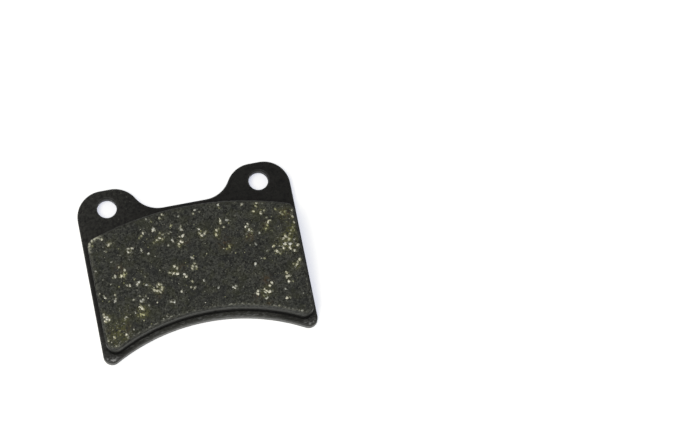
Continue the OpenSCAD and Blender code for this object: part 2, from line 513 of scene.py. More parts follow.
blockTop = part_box("friction_lining")[1].z / mm
blockPlan = {
    "width": 57.4, "outerRadius": 85.6, "lowerBorder": 1.4, "cornerRadius": 2.6,
    "chamfer": 0.5, "offset": 0.25,
    "step": 0.3, "wallStep": 0.36, "faceStep": 0.3, "footBand": 0.12, "faceBand": 0.15,
    "slopeRows": (0.2, 0.5, 0.8), "edgeInset": 0.03, "edgeDrop": 0.01,
    "rimRows": ((0.62, 0.7), (0.85, 0.2), (1.15, 0)),      # inset on the face, share of chips
    "wallLitFrom": 2.6, "wallLitTo": 3.8,      # heights above the plate between which the wall turns from its dark foot to its lighter top: painted shade at the foot where it meets the plate, painted light above
    "lipShares": (0.1, 0.5, 0.9, 1, 1, 0.7, 0.2, 0),      # from the wall's top over the chamfer
    "lipCorner": (-26.8, 8.6), "lipPeak": 1.2, "lipFall": 0.33,
    # painted highlight along the left and the near edge of the face, where the light falls
    "lipLeftHighlight": 0.08, "lipNearHighlight": 0.05, "lipLeast": 0.03,
}
reliefSettings = {"Grain Depth": 0.035 * mm, "Pit Depth": 0.16 * mm, "Chip Depth": 0.22 * mm}
blockTints = {
    "dark": (0.006, 0.0066, 0.0054), "light": (0.068, 0.069, 0.058),
    "cloud": (0.055, 0.056, 0.051), "pore": (0.01, 0.011, 0.008), "shade": (0.018, 0.019, 0.019),
    "olive": (0.043, 0.045, 0.024), "yellow": (0.107, 0.105, 0.036), "rust": (0.07, 0.042, 0.022),
    "speckDark": (0.075, 0.075, 0.056), "speckLight": (0.27, 0.265, 0.215),
    # worn: the lighter top of the block's wall, painted light over a foot left dark as painted shade
    "skinDark": (0.003, 0.003, 0.003), "skinLight": (0.009, 0.009, 0.0085), "worn": (0.031, 0.032, 0.029),
    # sunk: painted shade in the pits and chips
    "sunk": (0.006, 0.006, 0.005), "chip": (0.66, 0.65, 0.5), "nick": (0.42, 0.42, 0.36),
}


def blockCorners(plan):      # centres of the lower and the upper right corner
    corner = plan["cornerRadius"]
    reach = plan["width"] / 2 - corner
    lowR = platePlan["hollowRadius"] + plan["lowerBorder"] + corner
    highR = plan["outerRadius"] - corner
    return ((reach, hollowY + math.sqrt(lowR ** 2 - reach ** 2)),
            (reach, axleY + math.sqrt(highR ** 2 - reach ** 2)))


def blockArcs(plan):
    cornerR = plan["cornerRadius"]
    hollowR = platePlan["hollowRadius"] + plan["lowerBorder"]
    lowC, highC = blockCorners(plan)
    lowTurn = math.degrees(math.atan2(hollowY - lowC[1], -lowC[0]))
    highTurn = math.degrees(math.atan2(highC[1] - axleY, highC[0]))
    rightSide = [(lowC, cornerR, lowTurn, 0, False), (highC, cornerR, 0, highTurn, False)]
    crown = ((0, axleY), plan["outerRadius"], highTurn, 180 - highTurn, False)
    hollow = ((0, hollowY), hollowR, -lowTurn, lowTurn + 180, True)
    arcs = rightSide + [crown] + leftHalf(rightSide) + [hollow]
    return [((c[0] + plan["offset"], c[1]), r, start, end, bent) for c, r, start, end, bent in arcs]


def insideBlock(x, y, plan, margin):
    x = abs(x - plan["offset"])
    outer = plan["outerRadius"] - margin
    hollow = platePlan["hollowRadius"] + plan["lowerBorder"] + margin
    away = x > plan["width"] / 2 - margin
    if away or math.hypot(x, y - axleY) > outer or math.hypot(x, y - hollowY) < hollow:
        return False
    lowC, highC = blockCorners(plan)
    if x > lowC[0] and not lowC[1] <= y <= highC[1]:      # in a rounded corner
        return math.dist((x, y), lowC if y < lowC[1] else highC) < plan["cornerRadius"] - margin
    return True


def staggered(low, high, step):      # evenly spread spots over a box, every second row shifted
    spots, y, row = [], low[1], 0
    while y < high[1]:
        x = low[0] + (row % 2) * step / 2
        while x < high[0]:
            spots.append((x, y))
            x += step
        y += step * 0.866
        row += 1
    return spots


def reliefTree(material):
    tree, given, made = newTree("compoundRelief", "GeometryNodeTree",
        {"Block": "Geometry", **reliefSettings}, {"Block": "Geometry"})
    place = put(tree, "GeometryNodeInputPosition")
    grain = sums(tree, "SUBTRACT", noiseAt(tree, place, 0.9, 4, 0.6), 0.5)
    grain = times(tree, times(tree, grain, 2), given["Grain Depth"])
    pits = patches(tree, place, 1.1, (0.56, 0.68), 3, 0.55)
    wide = patches(tree, place, 6, (0.4, 0.62), 1, shares=(0.25, 1))
    pitDepth = times(tree, times(tree, pits, wide), given["Pit Depth"])
    chips = patches(tree, place, 1.3, (0.5, 0.66), 3, 0.6)
    chipDepth = times(tree, times(tree, chips, fieldOf(tree, "rim")), given["Chip Depth"])
    sunk = sums(tree, "ADD", pitDepth, chipDepth)
    lift = times(tree, sums(tree, "SUBTRACT", grain, sunk), fieldOf(tree, "relief"))
    offset = vectors(tree, "SCALE", put(tree, "GeometryNodeInputNormal"), lift)
    # how deep a spot lies in a pit or a chip; the finish darkens it by this as painted shade
    sunkShare = sums(tree, "DIVIDE", sunk, given["Pit Depth"], clamp=True)
    stored = store(tree, given["Block"], "sunk", sunkShare)
    moved = reshape(tree, "SetPosition", stored, {"Offset": offset})
    plain = reshape(tree, "RealizeInstances", moved)
    dressed = reshape(tree, "SetMaterial", plain, {"Material": material})
    connect(tree, made, {"Block": dressed})
    return tree


def compoundFinish():
    material, tree, place, shader = newFinish("frictionCompound")
    tints = blockTints
    ground, stain = markOf(tree, "ground"), markOf(tree, "stain")
    grain = useGroup(tree, surfaceGrain, Place=place, Coarse=1300, Fine=3600)
    base = blend(tree, grain["Mottle"], tints["dark"], tints["light"])
    for tint, size, levels, detail, rough, share in (
            ("cloud", 1.1, (0.38, 0.62), 2, 0.5, 0.35), ("pore", 0.5, (0.50, 0.66), 2, 0.5, 0.85),
            ("shade", 2.6, (0.50, 0.64), 2, 0.5, 0.42), ("olive", 3.2, (0.48, 0.62), 3, 0.6, 0.3)):
        mask = patches(tree, place, size, levels, detail, rough)
        base = blend(tree, times(tree, mask, share), base, tints[tint])
    crumbs = patches(tree, place, 0.55, (0.40, 0.58), 3, 0.65)
    yellow = times(tree, ramp(tree, stain, 0, 1), crumbs)
    rusty = times(tree, markOf(tree, "rust"), patches(tree, place, 0.8, (0.42, 0.58), 3))
    base = layered(tree, base, tints, yellow=times(tree, yellow, 0.8), rust=times(tree, rusty, 0.7))
    busy = patches(tree, place, 4, (0.40, 0.62), shares=(0.15, 0.6))
    busy = sums(tree, "ADD", busy, times(tree, stain, 0.9), clamp=True)
    for frequency, cover, reach, strength in ((2500, 0.34, 0.45, 0.55), (1600, 0.22, 0.42, 0.8),
                                              (950, 0.11, 0.36, 0.75)):
        specks = useGroup(tree, mineralSpecks, Place=place, Frequency=frequency, Cover=cover, Reach=reach)
        pale = blend(tree, specks["Tone"], tints["speckDark"], tints["speckLight"])
        mask = times(tree, specks["Mask"], times(tree, busy, strength))
        base = blend(tree, times(tree, mask, ground), base, pale)
    skin = blend(tree, grain["Mottle"], tints["skinDark"], tints["skinLight"])
    patchy = patches(tree, place, 0.8, (0.36, 0.6), 3, 0.6, (0.3, 1))
    # the wall lighter at its top than at its foot: painted light above, painted shade at the foot where it
    # meets the plate
    worn = markOf(tree, "worn")
    skin = layered(tree, skin, tints, worn=times(tree, worn, patchy))
    # painted shade: pits and chipped edges darkened by how deep they are
    sunk = times(tree, markOf(tree, "sunk"), 0.6)
    # light edge of the face: a worn cream corner at the upper left, and a painted highlight along the left
    # and the near side
    chipped = times(tree, markOf(tree, "lip"), patches(tree, place, 0.6, (0.38, 0.56), 3))
    nearSide = ramp(tree, axesOf(tree, place)["Y"], -11 * mm, -14 * mm)
    nearRim = times(tree, times(tree, markOf(tree, "rim"), ground), nearSide)
    nicks = times(tree, nearRim, patches(tree, place, 0.7, (0.54, 0.62)))
    colour = blend(tree, ground, skin, base)
    colour = layered(tree, colour, tints, sunk=sunk, chip=chipped, nick=times(tree, nicks, 0.5))
    shown = sums(tree, "MAXIMUM", ground, worn)      # the dark foot hardly shines
    shine = ramp(tree, shown, 0, 1, 0.015, 0.07)
    gloss = ramp(tree, ground, 0, 1, 0.38, 0.7)
    joinSurface(tree, shader, colour, gloss, shine, grain["Height"], 0.6, 0.08)
    return material


def lipAt(x, y, plan):      # how light the edge of the friction face is, at a place on it: a worn cream corner at the upper left, and a painted highlight along the left and the near side
    corner = plan["lipPeak"] - plan["lipFall"] * math.dist((x, y), plan["lipCorner"])
    leftSide = plan["lipLeftHighlight"] * ramped(-x, 26, 27.5)
    nearSide = plan["lipNearHighlight"] * ramped(-y, 13, 15)
    return min(1, max(plan["lipLeast"], corner, leftSide, nearSide))


def makeFrictionBlock():
    plan = blockPlan
    shell = newShell()
    rim = walkArcs(blockArcs(plan), plan["step"])
    wallTop = blockTop - plan["chamfer"]
    foot = addRing(shell, rim, 0, plateTop, relief=0, ground=0, rim=0)
    rows = math.ceil((wallTop - plateTop) / plan["wallStep"])
    wallFoot = plateTop + plan["footBand"]
    heights = [wallFoot + (wallTop - plateTop - plan["footBand"]) * i / rows for i in range(rows + 1)]
    walls = stack(shell, rim, [(0, z) for z in heights], relief=1, ground=0, rim=0)
    bridge(shell, [foot, walls[0]])
    slope = [(plan["chamfer"] * s, wallTop + plan["chamfer"] * s, 0, 0.3) for s in plan["slopeRows"]]
    slope += [(plan["chamfer"] + plan["edgeInset"], blockTop - plan["edgeDrop"], 0.5, 1)]
    inner = [(inset, blockTop, 1, chips) for inset, chips in plan["rimRows"]]
    rings = [walls[-1]] + [addRing(shell, rim, inset, height, relief=1, ground=ground, rim=chips)
                           for inset, height, ground, chips in slope + inner]
    # painted light and shade on the wall: lighter at the top, dark at the foot where it meets the plate
    worn = markOn(shell, "worn")
    for ring, height in zip(walls + rings[1:1 + len(slope)], heights + [blockTop] * len(slope)):
        share = ramped(height, plateTop + plan["wallLitFrom"], plateTop + plan["wallLitTo"])
        worn.update(dict.fromkeys(ring, share))
    bridge(shell, rings)
    margin = plan["rimRows"][-1][0] + plan["faceBand"]
    reach = plan["width"] / 2
    face = [(x, y) for x, y in staggered((-reach, -top), (reach + 1, top), plan["faceStep"])
            if insideBlock(x, y, plan, margin)]
    closeFlat(shell, rings[-1], [], 1, blockTop, face, relief=1, ground=1, rim=0)
    lip = markOn(shell, "lip")
    for ring, share in zip(rings, plan["lipShares"]):
        for i in ring:
            lip[i] = share * lipAt(*shell["points"][i][:2], plan)
    addKeys(shell, foot)
    addStains(shell)
    finish = compoundFinish()
    piece = makePiece("frictionBlock", shell, finish)
    runTree(piece, reliefTree(finish), reliefSettings)
    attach(piece, "root")
    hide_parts("friction_lining")
    return piece


def addKeys(shell, foot):      # six moulded keys, from the block's underside to just short of the back
    plan = platePlan
    radius = plan["keyHole"] / 2 - plan["keyClearance"]
    recess = plan["keyRecess"]
    roots = []
    for x, y in keyPlaces(plan):
        wall = walkArcs([((x, y), radius, 0, 360, False)], plan["holeStep"])
        end = [addRing(shell, wall, inset, recess + rise, relief=0.6, ground=0.1, rim=0.8)
               for inset, rise in plan["keyEnd"]]
        side = [addRing(shell, wall, 0, z, relief=0, ground=0, rim=0)
                for z in (recess + plan["keySide"], plateTop)]
        bridge(shell, end + side)
        spots = [(x + a, y + b) for a, b in staggered((-radius, -radius), (radius, radius), plan["keyNet"])
                 if math.hypot(a, b) < radius - plan["keyNetMargin"]]
        closeFlat(shell, end[0], [], -1, recess, spots, relief=1, ground=0.55, rim=0)
        roots.append(side[-1])
    closeFlat(shell, foot, roots, -1)


# Larger mineral flakes as they lie in the ground face: x, y, size in mm, tone from grey (0) over
# cream (0.5) to brassy (1). Placed one by one.
flakePlaces = [
    (-28, 7.9, 0.7, 0.5), (-27.3, 8.6, 0.7, 0.5), (-26.6, 9.2, 0.7, 0.5), (-25.8, 9.6, 0.7, 0.5),
    (-24.9, 9.5, 1.1, 0.4), (-24.3, 8.9, 0.8, 0.5), (-27.1, 7.6, 0.6, 0.7), (-22.7, 7.1, 0.9, 0.5),
    (-22, 7.4, 0.6, 0.5), (-23.9, 5.4, 0.7, 0.5), (-12.9, 8.6, 0.8, 0.5), (-13.5, 7.9, 0.7, 0.7),
    (-10.1, 9, 1.1, 0.3), (-9.6, 8.8, 0.7, 0.4), (-14.2, 7.4, 0.6, 0.6), (-12.2, 6.7, 0.5, 0.5),
    (-9.4, 5.9, 0.8, 0.6), (-8.8, 6.4, 0.8, 0.4), (-8, 5.9, 0.7, 0.7), (-10.6, 5.4, 0.6, 0.6),
    (-14.3, 3.9, 0.8, 0.4), (-17.6, 5, 0.8, 0.4), (-16.7, 4.9, 0.8, 0.4), (-17.7, 4, 0.9, 0.3),
    (-17, 4.2, 0.6, 0.6), (-12.6, 2.6, 0.8, 0.3), (-20.2, 3.6, 0.5, 0.3), (-22.8, 2.2, 0.6, 0.3),
    (-5.4, 5.1, 0.9, 0.3), (-6.7, 4, 0.7, 0.3), (-3.3, 5.6, 0.8, 0.5), (-2.4, 5.8, 0.9, 0.4),
    (-3.2, 4.3, 1.1, 0.4), (-3.9, 3.8, 0.8, 0.6), (-4, 3.1, 0.7, 0.6), (-2.4, 7.6, 0.9, 0.3),
    (-2.5, 8.4, 0.7, 0.5), (-5.1, 9.3, 0.9, 0.7), (-6.1, 7.2, 0.6, 0.3), (-5.4, 7.4, 0.5, 0.3),
    (-7.9, 7.2, 0.6, 0.4), (-8.4, 7.8, 0.6, 0.5), (-6.8, 12.7, 0.8, 0.5), (-7.7, 11.8, 0.8, 0.6),
    (-11.4, 12.3, 0.6, 0.3), (-10.2, 11.4, 0.6, 0.6), (-2.6, 11.4, 0.7, 0.3), (-3.6, 13.4, 0.7, 0.4),
    (-20.9, -2.2, 0.9, 0.7), (-20.1, -1.9, 1, 0.8), (-22.6, -2, 0.9, 0.4), (-23.3, -2.2, 0.6, 0.5),
    (-19.7, -0.7, 0.8, 0.4), (-21.1, 0.4, 0.8, 0.6), (-27.6, 0.4, 0.8, 0.3), (-24.1, -3.9, 0.6, 0.4),
    (-26, -2.3, 0.5, 0.3), (-19.9, -5, 0.7, 0.3), (-19.1, -5.3, 0.8, 0.3), (-17, -5.3, 0.8, 0.4),
    (-16.5, -4.7, 0.9, 0.3), (-14.6, -3.5, 0.6, 0.5), (-14.7, -5.9, 0.8, 0.2), (-13.7, -6.3, 0.6, 0.6),
    (-17.6, -3.8, 0.6, 0.6), (-17, -8.6, 0.6, 0.4), (-15.4, -9, 0.6, 0.5), (-18.8, -9.3, 0.7, 0.5),
    (-11.9, -6.8, 0.7, 0.6), (-11.3, -6.3, 0.8, 0.6), (-10.7, -6.6, 0.7, 0.6), (-10.6, -7.3, 0.8, 0.6),
    (-12.8, -7.7, 0.9, 0.6), (-12.1, -8.1, 1.1, 0.5), (-11.3, -8.3, 1, 0.5), (-10.7, -7.9, 0.8, 0.6),
    (-23.5, -7, 0.7, 0.5), (-23.5, -8, 0.7, 0.5), (-23.7, -8.7, 0.8, 0.3), (-26.4, -7.2, 0.8, 0.4),
    (-27.9, -6, 0.9, 0.4), (-25.5, -8.6, 0.6, 0.6), (-16.8, -10.2, 0.8, 0.3), (-16.3, -9.8, 0.9, 0.2),
    (-17.4, -11.6, 1.1, 0.6), (-17, -12.1, 1.1, 0.6), (-16.6, -12.5, 0.7, 0.8), (-15, -11.6, 0.7, 0.1),
    (-27.6, -11.8, 0.8, 0.5), (-27.4, -12.6, 1, 0.5), (-27, -13, 1.1, 0.4), (-26.4, -13.5, 0.9, 0.5),
    (-27.4, -13.8, 0.9, 0.6), (-21.7, -13.7, 0.9, 0.3), (-22.2, -14.4, 0.6, 0.6), (-22.6, -15.4, 0.6, 0.4),
    (-17.7, -13.6, 0.9, 0.9), (-16.9, -13.9, 0.9, 0.9), (-18.5, -14.1, 0.6, 0.8), (-22.4, -18.6, 1, 0.4),
    (-22.3, -19.4, 0.6, 0.5), (-25.8, -18.6, 0.8, 0.6), (-24.1, -17.1, 0.6, 0.7), (-28, -18.4, 0.7, 0.6),
    (-27.8, -19.4, 0.8, 0.6), (-25.8, -21.1, 0.9, 0.4), (-8.8, -11.8, 0.8, 0.3), (-8, -12.1, 0.9, 0.1),
    (-5.7, -9.5, 0.8, 0.3), (-10.8, -15.5, 0.6, 0.2), (-9.6, -15.8, 0.5, 0.3), (-6.3, -2.2, 0.9, 0.5),
    (-5.6, -2.8, 0.8, 0.5), (-6.8, -4.1, 0.8, 0.6), (-5.9, -4.4, 0.9, 0.5), (-7.9, -3.7, 0.8, 0.5),
    (-4, -4.9, 1, 0.2), (-3.6, -5.6, 0.9, 0.4), (-1.6, -3.7, 0.8, 0.5), (-1.3, -3.1, 0.8, 0.5),
    (-0.7, -2.4, 0.7, 0.5), (-0.4, -3.4, 0.8, 0.5), (-0.6, -3.9, 0.7, 0.6), (-1, -0.8, 0.8, 0.4),
    (-2.2, -7.3, 0.7, 0.6), (-2.9, -8.8, 0.8, 0.5), (-2, -9.2, 0.7, 0.4), (2.1, 12.4, 0.8, 0.2),
    (1.5, 11.3, 0.7, 0.5), (3.3, 11.6, 0.6, 0.3), (8.6, 12.5, 0.9, 0.3), (8.8, 11.6, 0.6, 0.7),
    (2.2, 6.8, 0.8, 0.3), (2.3, 5.6, 0.8, 0.6), (2.7, 4.9, 1.1, 0.5), (3.5, 5.3, 0.9, 0.5),
    (4, 5.9, 0.6, 0.5), (8.4, 8.1, 0.8, 0.5), (8.3, 7.3, 0.8, 0.6), (6.9, 5.6, 0.8, 0.6),
    (6.6, 4.3, 0.9, 0.7), (7.5, 5.9, 0.6, 0.6), (9, 6.1, 0.7, 0.6), (10.4, 7.8, 1.1, 0.2),
    (10.5, 6.9, 0.5, 0.7), (13.2, 12.5, 0.7, 0.3), (15, 11.5, 0.8, 0.4), (19, 11.2, 0.8, 0.5),
    (20.8, 10.9, 0.6, 0.5), (18.7, 10.3, 0.7, 0.7), (15.1, 5.1, 1, 0.4), (15.5, 5.7, 0.8, 0.4),
    (15.7, 3.9, 1, 0.3), (16.2, 3.5, 0.8, 0.5), (18.3, 2.7, 0.8, 0.2), (14.6, 2.3, 0.6, 0.8),
    (9.5, 0.5, 0.8, 0.8), (8.6, 0, 0.7, 0.9), (16.7, -0.2, 0.7, 0.1), (15.5, -5.7, 1, 0.2),
    (18.3, -4.7, 0.7, 0.6), (0.9, -7.7, 0.7, 0.2), (4.5, -10.3, 0.7, 0.2), (8.5, -11.1, 0.8, 0.2),
    (9.2, -10.8, 0.7, 0.2), (14.5, -14, 1.1, 0.4), (14.8, -13.3, 0.9, 0.4), (16.6, -13.2, 0.9, 0.5),
    (17.1, -13.7, 1, 0.5), (18, -14, 1, 0.5), (18.9, -11.7, 0.9, 0.4), (18.2, -12.4, 0.9, 0.5),
    (16.6, -15.7, 0.9, 0.3), (16.1, -14.9, 0.6, 0.7), (23.2, -10.7, 0.9, 0.5), (23.9, -10.7, 0.8, 0.5),
    (23.4, -9.7, 0.9, 0.6), (23.5, -12.3, 0.9, 0.4), (24.6, -12.4, 0.6, 0.7), (26, -8.5, 1.1, 0.4),
    (26.7, -8, 0.9, 0.6), (26.9, -7.3, 0.7, 0.6), (27.6, -6.7, 0.9, 0.5), (28.6, -6.6, 0.6, 0.5),
    (25.7, -7.6, 0.6, 0.7), (24.3, -0.2, 0.9, 0.6), (25.1, 0.3, 1, 0.6), (25.8, -0.6, 0.9, 0.7),
    (26.4, 0.8, 0.8, 0.7), (26.9, 1.7, 0.7, 0.7), (27.5, 2.5, 0.7, 0.7), (24.4, -1.7, 1.1, 0.4),
    (23.9, -2.7, 1.1, 0.5), (25.9, -2, 1, 0.3), (25.6, -3, 0.9, 0.5), (27.2, -1, 0.7, 0.3),
    (27.9, -2.6, 1, 0.6), (26.7, -4, 0.8, 0.4), (21.4, -1.7, 0.9, 0.6), (22, -3.5, 1, 0.6),
    (22.7, -4.1, 0.7, 0.7), (19.3, -2.7, 0.7, 0.4), (28.1, 3.8, 0.75, 0.6), (28, 5.5, 0.75, 0.6),
    (28.2, 7.2, 0.7, 0.5), (25.5, 6.6, 0.7, 0.8), (26.2, 7.3, 0.7, 0.9), (25, 7.2, 0.7, 0.7),
    (23.8, 8.4, 0.7, 0.9), (20.8, 4.4, 0.7, 0.9), (20.2, 3.4, 0.8, 0.8), (19.6, 8.1, 0.8, 0.5),
    (20.6, 8.6, 0.7, 0.6), (20.9, 6.6, 0.6, 0.5), (21.4, 5.5, 1, 0.6), (17.8, 8.9, 0.8, 0.8),
    (22.2, -16.6, 0.9, 0.4), (22.9, -16.7, 0.6, 0.5), (22.2, -14.1, 0.7, 0.2), (25.4, -21, 0.8, 0.1),
    (24.7, -20.7, 0.6, 0.3), (7, -15.6, 0.7, 0.3), (8.2, -15.9, 0.8, 0.3), (9.8, -15.9, 0.6, 0.3),
    (11, -16.2, 0.6, 0.3), (18.2, -18.1, 0.6, 0.3), (19.7, -18.4, 0.6, 0.4),
]
stainPlaces = [      # olive stain round the flakes: x, y, reach in mm, strength
    (-17, -13.2, 2.4, 1), (-24.5, -17.6, 4.6, 0.76), (-21, -12, 3, 0.3), (-11.8, -8.4, 2, 0.35),
    (-20.6, -2.2, 2.2, 0.4), (-17.8, 3, 2, 0.3), (-9, 6, 2.4, 0.35), (-3.4, 3.4, 2, 0.3),
    (3, 5, 2.4, 0.4), (7.2, 4.6, 2.6, 0.4), (9.6, 0.2, 2, 0.45), (15.6, 3.2, 2, 0.5),
    (25, -1.2, 4.6, 0.7), (26, 6.4, 3.6, 0.5), (19, 9, 3.6, 0.3), (20, 4, 2.2, 0.5),
    (17.2, -13.6, 2.4, 0.45), (26.6, -8.4, 2, 0.5), (-7, -3.6, 2.4, 0.3), (-22.6, 7, 2.2, 0.3),
    (14.8, -8, 2.4, 0.25), (27.6, 2.4, 2.4, 0.5), (-27, -12.6, 2.2, 0.4),
]
rustPlaces = [      # rusty brown spots, the same way
    (8.6, 1.5, 2.2, 0.7), (-2.2, 4, 1.4, 0.6), (17.8, -10.6, 1.7, 0.8), (15.4, 1.9, 1.6, 0.7),
    (26.4, 6.6, 2, 0.6), (14.4, -14.8, 1.6, 0.6), (-21.2, -0.2, 1.8, 0.6), (-22, -16.5, 2, 0.4),
    (-27.2, -17, 1.6, 0.4), (17.2, -17, 1.2, 0.5), (-4.2, -3, 1.4, 0.5), (-11.6, -9.2, 1.3, 0.5),
    (20.4, 5, 1.4, 0.5),
]
haloPlan = {"reach": 0.7, "growth": 0.5, "strength": 0.26}      # stain close round every placed flake


def spread(places, x, y):
    return min(1, sum(s * math.exp(-((x - a) ** 2 + (y - b) ** 2) / (0.5 * r * r)) for a, b, r, s in places
                        if abs(x - a) < 2 * r and abs(y - b) < 2 * r))


def addStains(shell):
    halos = [(x, y, haloPlan["reach"] + haloPlan["growth"] * across, haloPlan["strength"])
             for x, y, across, tone in flakePlaces]
    stain, rust = markOn(shell, "stain"), markOn(shell, "rust")
    for i, (x, y, z) in enumerate(shell["points"]):
        if z > blockTop - 1:
            stain[i] = spread(stainPlaces + halos, x, y)
            rust[i] = spread(rustPlaces, x, y)


frictionBlock = makeFrictionBlock()
print("friction block:", len(frictionBlock.data.polygons), "faces")


# Mineral flakes, cut flush when the friction face was ground

flakePlan = {
    "sink": 0.012, "busyPlain": 0.16, "busyStained": 1.5,
    "netStep": 1, "netInset": 0.9, "netMargin": 1.3,      # the net that flakes are strewn on
    "luckPower": 2.7,      # most shards are small, dull and far out, and a few large, bright and central
    "drift": (1.5, 0.7, 0), "loose": (0.1, 1.3), "luckPull": (-1.1, 1.25),
    "luckSize": (0.40, 0.10), "luckFade": 0.85, "fade": (0.05, 0.52), "toneStray": 0.2,
    "tilt": 0.05, "narrow": 0.35, "ragged": 1.6,
}
scatterSettings = {
    "Shards": 25, "Spread": 0.5, "Thickness": 0.05 * mm, "Overhang": 0.4 * mm, "Seed": 7,
    "Apart": 0.35 * mm, "Density": 3.2 / mm ** 2, "Smallest": 0.09 * mm, "Largest": 0.3 * mm,
}
flakeTints = {
    "grey": (0.66, 0.67, 0.63), "cream": (0.9, 0.86, 0.68), "brassy": (0.44, 0.43, 0.2),
    "rust": (0.24, 0.14, 0.07), "gap": (0.06, 0.058, 0.026), "faint": (0.03, 0.03, 0.02),
    "dimGrey": (0.17, 0.17, 0.14), "dimBrassy": (0.172, 0.172, 0.08),
}


def flakeFinish():
    material, tree, place, shader = newFinish("paleFlakes")
    tints = flakeTints
    tone, fade = markOf(tree, "tone"), markOf(tree, "fade")
    grain = useGroup(tree, surfaceGrain, Place=place, Coarse=1500, Fine=5000)
    pale = blend(tree, ramp(tree, tone, 0, 0.5), tints["grey"], tints["cream"])
    pale = blend(tree, ramp(tree, tone, 0.5, 1), pale, tints["brassy"])
    rust = times(tree, patches(tree, place, 2.2, (0.56, 0.66), 1), ramp(tree, tone, 0.5, 0.9))
    gaps = patches(tree, place, 0.32, (0.44, 0.58), 3, 0.6)
    pale = layered(tree, pale, tints, rust=times(tree, rust, 0.3), gap=times(tree, gaps, 0.5))
    dim = blend(tree, ramp(tree, tone, 0.3, 0.8), tints["dimGrey"], tints["dimBrassy"])
    dim = blend(tree, ramp(tree, fade, 0, 0.5), tints["faint"], dim)
    pale = blend(tree, ramp(tree, fade, 0.35, 0.9), dim, pale)
    gloss = ramp(tree, grain["Mottle"], 0, 1, 0.5, 0.75)
    joinSurface(tree, shader, pale, gloss, 0.4, grain["Height"], 0.4, 0.05)
    return material


def flakeTree(material, plan):
    tree, given, made = newTree("flakeScatter", "GeometryNodeTree",
        {"Places": "Geometry", **scatterSettings}, {"Flakes": "Geometry"})

    def dice(low, high, offset, kind="FLOAT"):
        seed = sums(tree, "ADD", given["Seed"], float(offset))
        return put(tree, "FunctionNodeRandomValue", {"Min": low, "Max": high, "Seed": seed}, data_type=kind)

    # placed flakes: each spot becomes a loose cluster of shards
    size = fieldOf(tree, "size")
    spots = put(tree, "GeometryNodeMeshToPoints", {"Mesh": given["Places"],
                "Selection": sums(tree, "GREATER_THAN", size, 0)})
    shards = reshape(tree, "DuplicateElements", spots, {"Amount": given["Shards"]}, domain="POINT")
    drift = dice(tuple(-d for d in plan["drift"]), plan["drift"], 1, "FLOAT_VECTOR")
    thrown = sums(tree, "POWER", dice(0, 1, 2), plan["luckPower"])
    loose = times(tree, dice(*plan["loose"], 11), sums(tree, "MULTIPLY_ADD", thrown, *plan["luckPull"]))
    drift = vectors(tree, "SCALE", drift, loose)
    drift = put(tree, "ShaderNodeVectorRotate", {"Vector": drift, "Angle": fieldOf(tree, "lean")},
                rotation_type="Z_AXIS")
    drift = vectors(tree, "SCALE", drift, times(tree, size, given["Spread"]))
    shards = reshape(tree, "SetPosition", shards, {"Offset": drift})
    shards = store(tree, shards, "luck", thrown)
    luck = fieldOf(tree, "luck")
    grown = times(tree, size, sums(tree, "MULTIPLY_ADD", luck, *plan["luckSize"]))
    shards = store(tree, shards, "size", grown)
    beyond = put(tree, "GeometryNodeProximity", {0: given["Places"]}, out="Distance", target_element="FACES")
    beyond = sums(tree, "MULTIPLY_ADD", size, 0.9, beyond)      # none may hang over the block's rim
    outside = sums(tree, "GREATER_THAN", beyond, given["Overhang"])
    shards = reshape(tree, "DeleteGeometry", shards, {"Selection": outside}, domain="POINT")
    stray = dice(-plan["toneStray"], plan["toneStray"], 3)
    shards = store(tree, shards, "tone", sums(tree, "ADD", fieldOf(tree, "tone"), stray, clamp=True))
    fade = sums(tree, "MULTIPLY_ADD", luck, plan["luckFade"], dice(*plan["fade"], 10), clamp=True)
    shards = store(tree, shards, "fade", times(tree, fade, fieldOf(tree, "bright")))

    # strewn flakes: small ones all over, thicker in some patches than in others
    thick = patches(tree, put(tree, "GeometryNodeInputPosition"), 5, (0.38, 0.62), shares=(0.5, 1.2))
    strewn = put(tree, "GeometryNodeDistributePointsOnFaces", {"Mesh": given["Places"],
                 "Distance Min": given["Apart"], "Density Max": given["Density"],
                 "Density Factor": times(tree, thick, fieldOf(tree, "busy")), "Seed": given["Seed"]},
                 out="Points", distribute_method="POISSON")
    chance = sums(tree, "POWER", dice(0, 1, 4), 3)
    across = ramp(tree, chance, 0, 1, given["Smallest"], given["Largest"])
    strewn = store(tree, strewn, "size", across)
    strewn = store(tree, strewn, "tone", dice(0.2, 1, 5))
    glint = sums(tree, "POWER", dice(0, 1, 12), 2.5)
    strewn = store(tree, strewn, "fade", sums(tree, "MULTIPLY_ADD", glint, 0.6, 0.1))

    both = put(tree, "GeometryNodeJoinGeometry")
    for source in (strewn, shards):
        tree.links.new(source, both.node.inputs[0])
    shape = put(tree, "GeometryNodeMeshIcoSphere", {"Radius": 1, "Subdivisions": 1})
    narrow = times(tree, size, dice(plan["narrow"], 1, 6))
    scale = put(tree, "ShaderNodeCombineXYZ", {"X": size, "Y": narrow, "Z": given["Thickness"]})
    turn = put(tree, "ShaderNodeCombineXYZ", {"X": dice(-plan["tilt"], plan["tilt"], 7),
               "Y": dice(-plan["tilt"], plan["tilt"], 8), "Z": dice(0, 6.283, 9)})
    turned = put(tree, "FunctionNodeEulerToRotation", {"Euler": turn})
    placed = put(tree, "GeometryNodeInstanceOnPoints", {"Points": both, "Instance": shape,
                 "Rotation": turned, "Scale": scale})
    plain = reshape(tree, "RealizeInstances", placed)
    wobble = noiseAt(tree, put(tree, "GeometryNodeInputPosition"), 0.3, 2, 0.6, out="Color")
    wobble = vectors(tree, "SUBTRACT", wobble, (0.5, 0.5, 0.5))
    wobble = vectors(tree, "MULTIPLY", wobble, (1, 1, 0.02))
    wobble = vectors(tree, "SCALE", wobble, times(tree, size, plan["ragged"]))
    ragged = reshape(tree, "SetPosition", plain, {"Offset": wobble})
    dressed = reshape(tree, "SetMaterial", ragged, {"Material": material})
    connect(tree, made, {"Flakes": dressed})
    return tree


